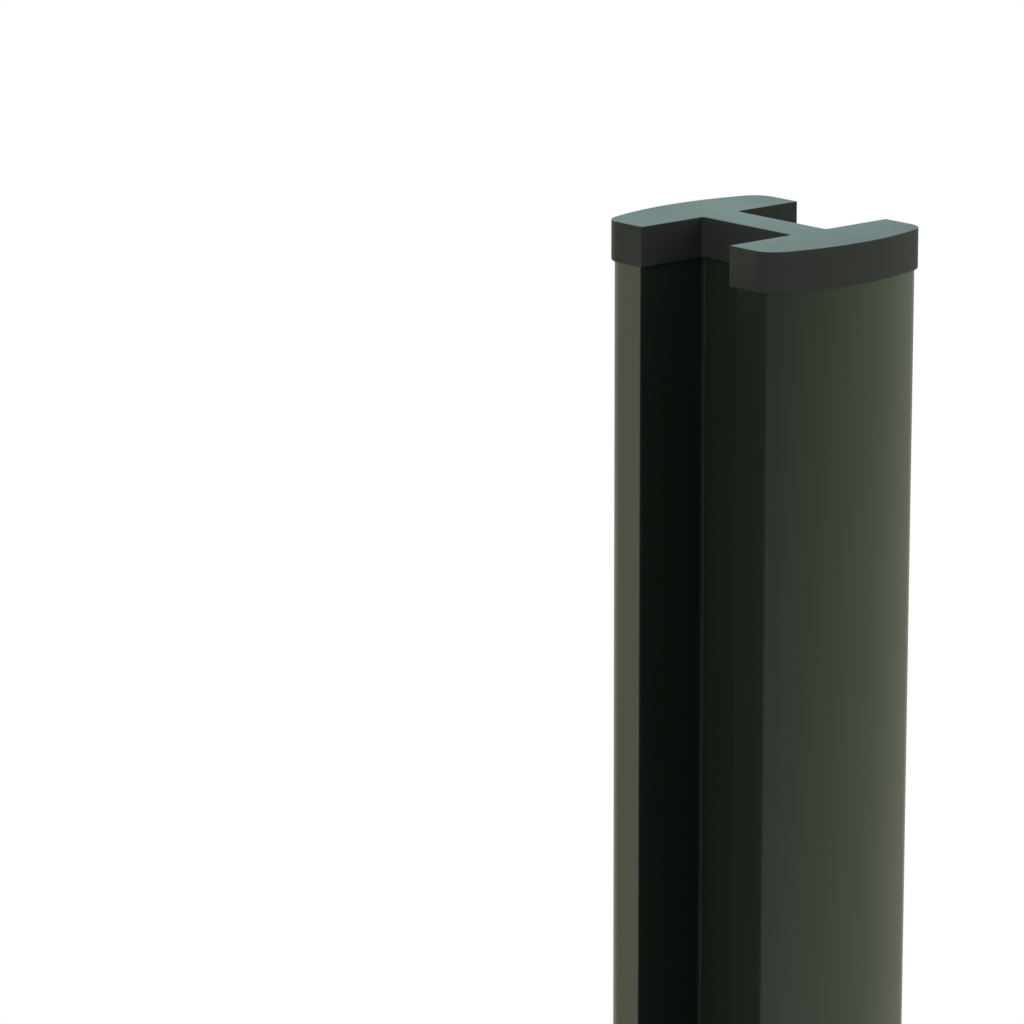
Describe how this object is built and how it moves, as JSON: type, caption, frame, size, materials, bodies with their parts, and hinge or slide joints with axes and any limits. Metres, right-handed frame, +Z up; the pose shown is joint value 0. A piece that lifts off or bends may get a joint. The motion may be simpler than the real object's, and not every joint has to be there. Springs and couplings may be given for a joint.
{
  "type": "fence post",
  "caption": "Hollow H-section metal fence post with two crowned flanges, a channel on each side for the edge of a fence panel, and a push-on cap.",
  "frame": {"origin": "middle of the profile's sawn foot", "axes": "+X along the fence, out of one panel channel; +Y across the fence, out of one crowned face; +Z up the post"},
  "size_m": [0.0632, 0.0816, 1.5025],
  "materials": {
    "coated_aluminium": "satin powder coat, dark green-grey, on an aluminium extrusion",
    "cap_plastic": "satin moulded plastic, dark grey"
  },
  "bodies": {
    "root": {"post_profile": "coated_aluminium", "post_cap": "cap_plastic"}
  },
  "joints": []
}
